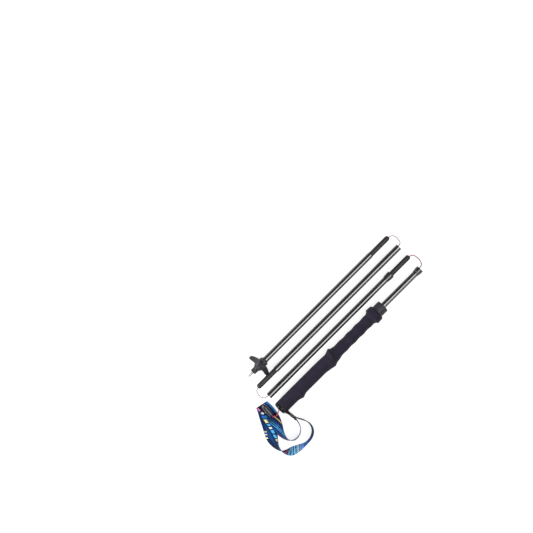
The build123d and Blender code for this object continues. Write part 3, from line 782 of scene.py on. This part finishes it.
# Each list holds the places along a lane where its colours start. On the inner part, LINES cross the
# webbing slowly, AT_FOLD is the bands near the fold, and CORNER is blocks at one side of them. On the
# outer part, CHAIN and BARS lie on the GROUND, and STEPS come after the twist.
LINES = [
    (-0.5, ROYAL), (-0.14, PINK), (-0.07, ROYAL), (0.08, BLUE), (0.13, NAVY), (0.25, ROYAL),
    (0.38, SKY), (0.43, DEEP), (0.54, SKY), (0.59, DEEP), (0.7, BLUE), (0.76, NAVY), (1.055, GOLD),
    (1.13, BLACK), (1.42, NAVY), (1.5, BLUE), (1.68, ROYAL), (1.8, BLUE), (2.0, ROYAL), (2.2, NAVY),
]
GROUND = [
    (-1.1, NAVY), (-0.9, DEEP), (-0.62, NAVY), (-0.4, ROYAL), (-0.1, NAVY), (0.42, ROYAL),
    (0.5, NAVY), (0.62, BLUE), (0.66, NAVY), (0.8, ROYAL), (0.88, NAVY),
]
CHAIN = [
    (0.4, PINK), (0.418, NAVY), (0.428, CREAM), (0.44, NAVY), (0.448, BLUE), (0.464, NAVY),
    (0.47, STRAW), (0.488, NAVY), (0.494, SKY), (0.504, NAVY), (0.51, CREAM), (0.52, NAVY),
    (0.526, SKY), (0.543, NAVY), (0.55, SKY), (0.568, NAVY), (0.574, STRAW), (0.588, NAVY),
    (0.598, SKY), (0.618, NAVY),
]
BARS = [
    (0.5, NAVY), (0.532, STRAW), (0.539, ROYAL), (0.548, STRAW), (0.555, ROYAL), (0.566, STRAW),
    (0.573, NAVY),
]
STEPS = [
    (0.64, DEEP), (0.688, PINK), (0.702, TEAL), (0.706, ICE), (0.718, NAVY), (0.722, ICE),
    (0.732, NAVY), (0.736, ICE), (0.745, ROYAL), (0.748, SKY), (0.754, BLUE), (0.757, STRAW),
    (0.763, BLUE), (0.768, DUSK), (0.795, BLUE), (0.825, ROYAL), (0.85, NAVY), (0.875, TEAL),
]
AT_FOLD = [
    (0.0, DEEP), (0.12, BLACK), (0.52, DEEP), (0.66, ROYAL), (0.72, NAVY), (0.82, BLUE), (0.93, DUSK),
]
CORNER = [
    (0.324, NAVY), (0.328, BLUE), (0.343, NAVY), (0.354, CREAM), (0.366, NAVY), (0.376, PINK),
    (0.393, NAVY),
]
# Colours along the edges: the selvedge's own colour with painted highlight and painted shade, lightest
# near the inner end
SELVEDGE_AND_HIGHLIGHT = [
    (0.0, linear(30, 30, 36)), (0.03, linear(96, 92, 112)), (0.07, linear(132, 130, 156)),
    (0.11, linear(176, 178, 198)), (0.16, linear(140, 140, 170)), (0.22, linear(60, 80, 140)),
    (0.78, linear(70, 110, 176)), (0.84, linear(44, 78, 118)), (0.89, linear(30, 46, 62)),
    (0.95, linear(34, 40, 50)), (0.985, linear(90, 94, 112)),
]

# The inner part, before the fold
FOLD_V = 0.4
LINES_SLOPE = 8.0  # a line crosses the webbing in an eighth of its length
LINES_SHIFT = -2.0
LINES_DIM = (0.26, 0.305)  # over this V the lines fade into DEEP
LINES_DIM_DEPTH = 0.75
GOLD_EDGE = 1.0  # only the lane below this is dimmed
AT_FOLD_START = 0.368  # from here the bands run along the webbing
AT_FOLD_LEAN = 0.05
CORNER_U = (0.085, 0.06)  # the middle of the row of blocks, and half its width
CORNER_START = 0.324
# The outer part, after it
GROUND_SLOPE = -4.35
GROUND_SHIFT = 1.826
CHAIN_ACROSS = (0.12, 0.1)  # its middle and half its width on the ground's lane
BLOCK_LEAN = -0.018
BARS_WIDTH = 0.2  # from the side
TWIST_PAINTED_SHADE = (0.575, 0.625)  # painted shade: the ground darkens into DEEP over this V, where the strap turns up
TWIST_SHADE_DEPTH = 0.85
STEPS_START = 0.65
STEP_LEAN = 0.016
# All along
SELVEDGE_HIGHLIGHT_START = 0.48  # from the middle; the edges carry painted highlight and painted shade
WARP_THREADS = 44
TWILL_LENGTH = 0.0011  # from one rib of the twill to the next, in metres
TWILL_RIBS = 11  # across the webbing
THREAD_SHADE = 0.07  # painted light and shade: how much lighter the threads' tops and darker their gaps are
FADE = 0.004  # size of the patches where the dye soaked in unevenly


def lane(finish, source, stops, interpolation="CONSTANT"):
    """A ramp over a lane's own range."""
    low, span = stops[0][0], stops[-1][0] - stops[0][0] + 0.001
    share = finish.maths("DIVIDE", finish.maths("SUBTRACT", source, low), span)
    return finish.ramp(share, [((at - low) / span, colour) for at, colour in stops], interpolation)


def crossing(finish, u, v, slope, shift):
    """A lane that moves across the webbing as it runs along it."""
    return finish.maths("MULTIPLY_ADD", v, slope, finish.maths("ADD", u, shift))


def leaning(finish, u, v, lean):
    """V with a share of U, for a lane of slanted cross stripes."""
    return finish.maths("MULTIPLY_ADD", u, lean, v)


def inner_print(finish, u, v):
    """Lines that cross the webbing slowly, then bands along the fold with blocks at its corner."""
    lengthwise = crossing(finish, u, v, LINES_SLOPE, LINES_SHIFT)
    below_gold = finish.maths("LESS_THAN", lengthwise, GOLD_EDGE)
    dimmed = finish.maths("MULTIPLY", finish.spread(v, 0.0, LINES_DIM_DEPTH, *LINES_DIM), below_gold)
    lines = finish.mix(dimmed, lane(finish, lengthwise, LINES), DEEP)
    near_fold = finish.maths("GREATER_THAN", leaning(finish, u, v, AT_FOLD_LEAN), AT_FOLD_START)
    colour = finish.mix(near_fold, lines, lane(finish, u, AT_FOLD))
    at_side = finish.maths("COMPARE", u, *CORNER_U)
    in_corner = finish.maths("MULTIPLY", at_side, finish.maths("GREATER_THAN", v, CORNER_START))
    return finish.mix(in_corner, colour, lane(finish, v, CORNER))


def outer_print(finish, u, v):
    """A slanted ground with a chain of blocks and short bars, painted shade as it turns up, then cross
    stripes after the twist.
    """
    ground = crossing(finish, u, v, GROUND_SLOPE, GROUND_SHIFT)
    blocks = leaning(finish, u, v, BLOCK_LEAN)
    in_chain = finish.maths("COMPARE", ground, *CHAIN_ACROSS)
    colour = finish.mix(in_chain, lane(finish, ground, GROUND), lane(finish, blocks, CHAIN))
    at_side = finish.maths("LESS_THAN", u, BARS_WIDTH)
    colour = finish.mix(at_side, colour, lane(finish, blocks, BARS))
    # painted shade: the colour darkens into DEEP where the strap turns up before the twist
    colour = finish.mix(finish.spread(v, 0.0, TWIST_SHADE_DEPTH, *TWIST_PAINTED_SHADE), colour, DEEP)
    steps = lane(finish, leaning(finish, u, v, STEP_LEAN), STEPS)
    return finish.mix(finish.maths("GREATER_THAN", v, STEPS_START), colour, steps)


def printed(length):
    """The strap's webbing: its print, its selvedges and the twill that it is woven in, with painted
    light and shade along the selvedges and on the threads.
    """
    finish = Finish("webbing", Sheen_Weight=0.03, Specular_IOR_Level=0.12)
    u = finish.uv("X")
    v = finish.uv("Y", 1 / length)
    past_fold = finish.maths("GREATER_THAN", v, FOLD_V)
    colour = finish.mix(past_fold, inner_print(finish, u, v), outer_print(finish, u, v))
    # the edges take the selvedge colours, with painted highlight and painted shade along V
    from_middle = finish.maths("ABSOLUTE", finish.maths("SUBTRACT", u, 0.5))
    at_edge = finish.maths("GREATER_THAN", from_middle, SELVEDGE_HIGHLIGHT_START)
    colour = finish.mix(at_edge, colour, lane(finish, v, SELVEDGE_AND_HIGHLIGHT, "LINEAR"))
    warp = finish.wave(u, WARP_THREADS)
    rows = finish.maths("MULTIPLY", u, 2 * math.pi * TWILL_RIBS)
    twill = finish.maths("MULTIPLY_ADD", finish.uv("Y"), 2 * math.pi / TWILL_LENGTH, rows)
    height = finish.maths("MULTIPLY_ADD", warp, 0.5, finish.maths("SINE", twill))
    fade = finish.grain(FADE)
    # painted light on the threads' tops and painted shade in their gaps, times the dye's uneven
    # patches
    shade = finish.maths("MULTIPLY_ADD", height, THREAD_SHADE, finish.spread(fade, 0.88, 1.1))
    finish.set("Base Color", finish.shaded(colour, shade))
    finish.set("Roughness", finish.spread(fade, 0.66, 0.82))
    finish.bump(height, 0.5, RELIEF)
    return finish.material


finishes = {name: moulded(name, **look) for name, look in MOULDED.items()}
finishes["grip_foam"] = foam()
finishes["strap_tab"] = woven_black()
finishes["cord"] = braided("cord", (206, 74, 104), (150, 30, 62))
finishes["loop_cord"] = braided("loop_cord", (208, 186, 192), (202, 170, 178))
finishes["handle_cord"] = braided("handle_cord", (178, 122, 140), (162, 100, 120))
finishes["webbing"] = printed(strap_length)


def paint(obj, finish):
    """Gives an object one of the finishes in place of its own."""
    obj.data.materials.clear()
    obj.data.materials.append(finishes[finish])


# A CAD node takes the finish of its slot, apart from two that have one of their own
OWN_FINISH = ("strap_keeper", "strap_pin")
for name, node in NODES.items():
    slot = node.data.materials[0].name.split(".")[0]
    paint(node, name if name in OWN_FINISH else slot)
for piece, finish in (
    (handle_cord_loop, "handle_cord"),
    (upper_cord_loop, "loop_cord"),
    (middle_cord_loop, "loop_cord"),
    (toggle_cord, "cord"),
    (strap, "webbing"),
    (tab, "strap_tab"),
    (core, "strap_tab"),
    (stitches, "thread"),
):
    paint(piece, finish)


# Floor, world and lamps ----------------------------------------------------------------------
FLOOR_R = 16.0
FLOOR_SIDES = 128
FLOOR_SPECKLE = 0.3
FLOOR_GLOW = 0.85  # what the camera and reflections see of it, where 1 is white
turns = [2 * math.pi * k / FLOOR_SIDES for k in range(FLOOR_SIDES)]
rim = [(FLOOR_R * math.cos(turn), FLOOR_R * math.sin(turn), 0.0) for turn in turns]
floor = mesh_object("floor", rim, [tuple(range(FLOOR_SIDES))], smooth=False)
floor_finish = Finish("floor", Roughness=0.9)
speckle = floor_finish.grain(FLOOR_SPECKLE)
floor_finish.set("Base Color", floor_finish.mix(speckle, linear(150, 150, 151), linear(156, 156, 156)))
rays = floor_finish.tree.nodes.new("ShaderNodeLightPath").outputs
seen = floor_finish.maths("MAXIMUM", rays["Is Camera Ray"], rays["Is Glossy Ray"])
seen = floor_finish.maths("MAXIMUM", seen, rays["Is Transmission Ray"])
floor_finish.shader.inputs["Emission Color"].default_value = (1, 1, 1, 1)
floor_finish.set("Emission Strength", floor_finish.maths("MULTIPLY", seen, FLOOR_GLOW))
floor.data.materials.append(floor_finish.material)

# The sky is white near the horizon and dark overhead: how high up, and how bright it is there
SKY_STOPS = ((0.12, 1.0), (0.38, 0.08))
world = bpy.data.worlds.new("studio")
bpy.context.scene.world = world
world.use_nodes = True
sky = world.node_tree
background = sky.nodes["Background"]
direction = sky.nodes.new("ShaderNodeTexCoord")
split = sky.nodes.new("ShaderNodeSeparateXYZ")
shade = sky.nodes.new("ShaderNodeValToRGB")
shade.color_ramp.interpolation = "EASE"
for element, (position, value) in zip(shade.color_ramp.elements, SKY_STOPS):
    element.position = position
    element.color = (value, value, value, 1)
sky.links.new(direction.outputs["Generated"], split.inputs["Vector"])
sky.links.new(split.outputs["Z"], shade.inputs["Fac"])
sky.links.new(shade.outputs["Color"], background.inputs["Color"])


def soft_box(name, turn, tilt, distance, size, power):
    """An area lamp aimed at the pole: turn from +X, tilt from straight up, both in degrees."""
    turn, tilt = math.radians(turn), math.radians(tilt)
    across = math.sin(tilt)
    way = Vector((across * math.cos(turn), across * math.sin(turn), math.cos(tilt)))
    lamp = bpy.data.lights.new(name, "AREA")
    lamp.shape = "RECTANGLE"
    lamp.size, lamp.size_y = size
    lamp.energy = power
    box = scene_object(name, lamp)
    box.location = way * distance
    box.visible_camera = False
    box.rotation_euler = way.to_track_quat("Z", "Y").to_euler()


soft_box("key", turn=0, tilt=20, distance=1.5, size=(1.4, 1.15), power=18.0)
soft_box("fill", turn=225, tilt=54, distance=1.7, size=(0.7, 0.6), power=24.0)

bpy.context.scene.view_settings.view_transform = "Standard"
